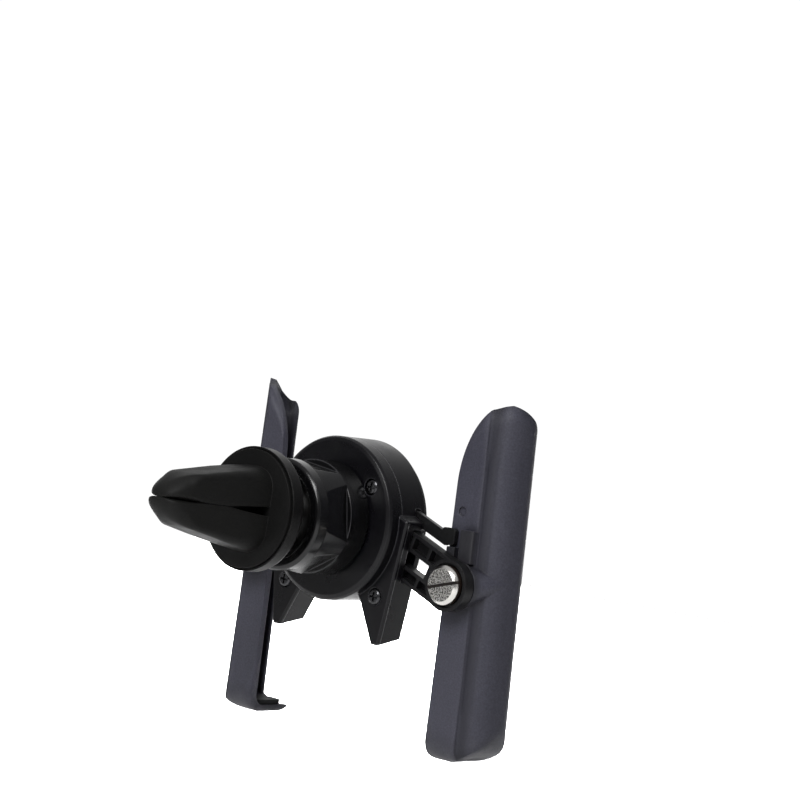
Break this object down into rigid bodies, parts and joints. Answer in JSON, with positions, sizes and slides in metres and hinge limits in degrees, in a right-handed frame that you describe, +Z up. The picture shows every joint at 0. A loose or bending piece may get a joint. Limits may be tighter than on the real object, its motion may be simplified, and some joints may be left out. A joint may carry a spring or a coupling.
{
  "type": "phone holder",
  "caption": "Car phone holder with two sliding, swinging side arms on a round hub, a ball joint with a scalloped clamp nut, and a rubber clip for an air vent's vane.",
  "frame": {"origin": "on the hub's axis at the front face of the round pad that the phone's back rests on", "axes": "+Z up in use, -Y towards the driver, +Y towards the vent, +X to the right seen from the driver"},
  "size_m": [0.0836, 0.0758, 0.08],
  "materials": {
    "shell": "satin",
    "nut": "semi gloss",
    "core": "matte",
    "rubber": "matte",
    "black_screw": "satin",
    "pin_steel": "satin",
    "nickel": "granular nickel plate"
  },
  "bodies": {
    "clip": {"clip_ring": "nut", "jaw_core": "core", "rubber_jaws": "rubber"},
    "ball_stud": {"ball_stud": "nut"},
    "hub": {"front_pad": "rubber", "front_housing": "shell", "rear_cover": "shell", "housing_screws": "black_screw", "guide_pins": "pin_steel", "brake_spring_left": "pin_steel", "brake_spring_right": "pin_steel"},
    "clamp_nut": {"clamp_nut": "nut"},
    "slide_left": {"slide_left": "shell"},
    "arm_left": {"arm_left": "shell", "side_liner_left": "rubber", "foot_pad_left": "rubber", "pivot_screw_left": "nickel", "pivot_washer_left": "pin_steel"},
    "slide_right": {"slide_right": "shell"},
    "arm_right": {"arm_right": "shell", "side_liner_right": "rubber", "foot_pad_right": "rubber", "pivot_screw_right": "nickel", "pivot_washer_right": "pin_steel"}
  },
  "joints": [
    {"name": "clip_turn", "type": "hinge", "parent": "clip", "child": "ball_stud", "pos_m": [0, 0.03799, 0.00062], "axis": [0, 0.9992, 0.0401], "continuous": true},
    {"name": "ball_tilt", "type": "hinge", "parent": "ball_stud", "child": "hub", "pos_m": [0, 0.0226, 0], "axis": [1, 0, 0], "range_deg": [-18, 16]},
    {"name": "nut_turn", "type": "hinge", "parent": "hub", "child": "clamp_nut", "pos_m": [0, 0.022, 0], "axis": [0, 1, 0], "range_deg": [0, 270]},
    {"name": "slide_left_in", "type": "slide", "parent": "hub", "child": "slide_left", "axis": [0.9328, 0, 0.3605], "range_m": [0, 0.007]},
    {"name": "arm_left_swing", "type": "hinge", "parent": "slide_left", "child": "arm_left", "pos_m": [-0.03185, 0.004, -0.0107], "axis": [0, 1, 0], "range_deg": [0, 5]},
    {"name": "slide_right_in", "type": "slide", "parent": "hub", "child": "slide_right", "axis": [-0.9328, 0, 0.3605], "range_m": [0, 0.007]},
    {"name": "arm_right_swing", "type": "hinge", "parent": "slide_right", "child": "arm_right", "pos_m": [0.03185, 0.004, -0.0107], "axis": [0, -1, 0], "range_deg": [0, 5]}
  ]
}
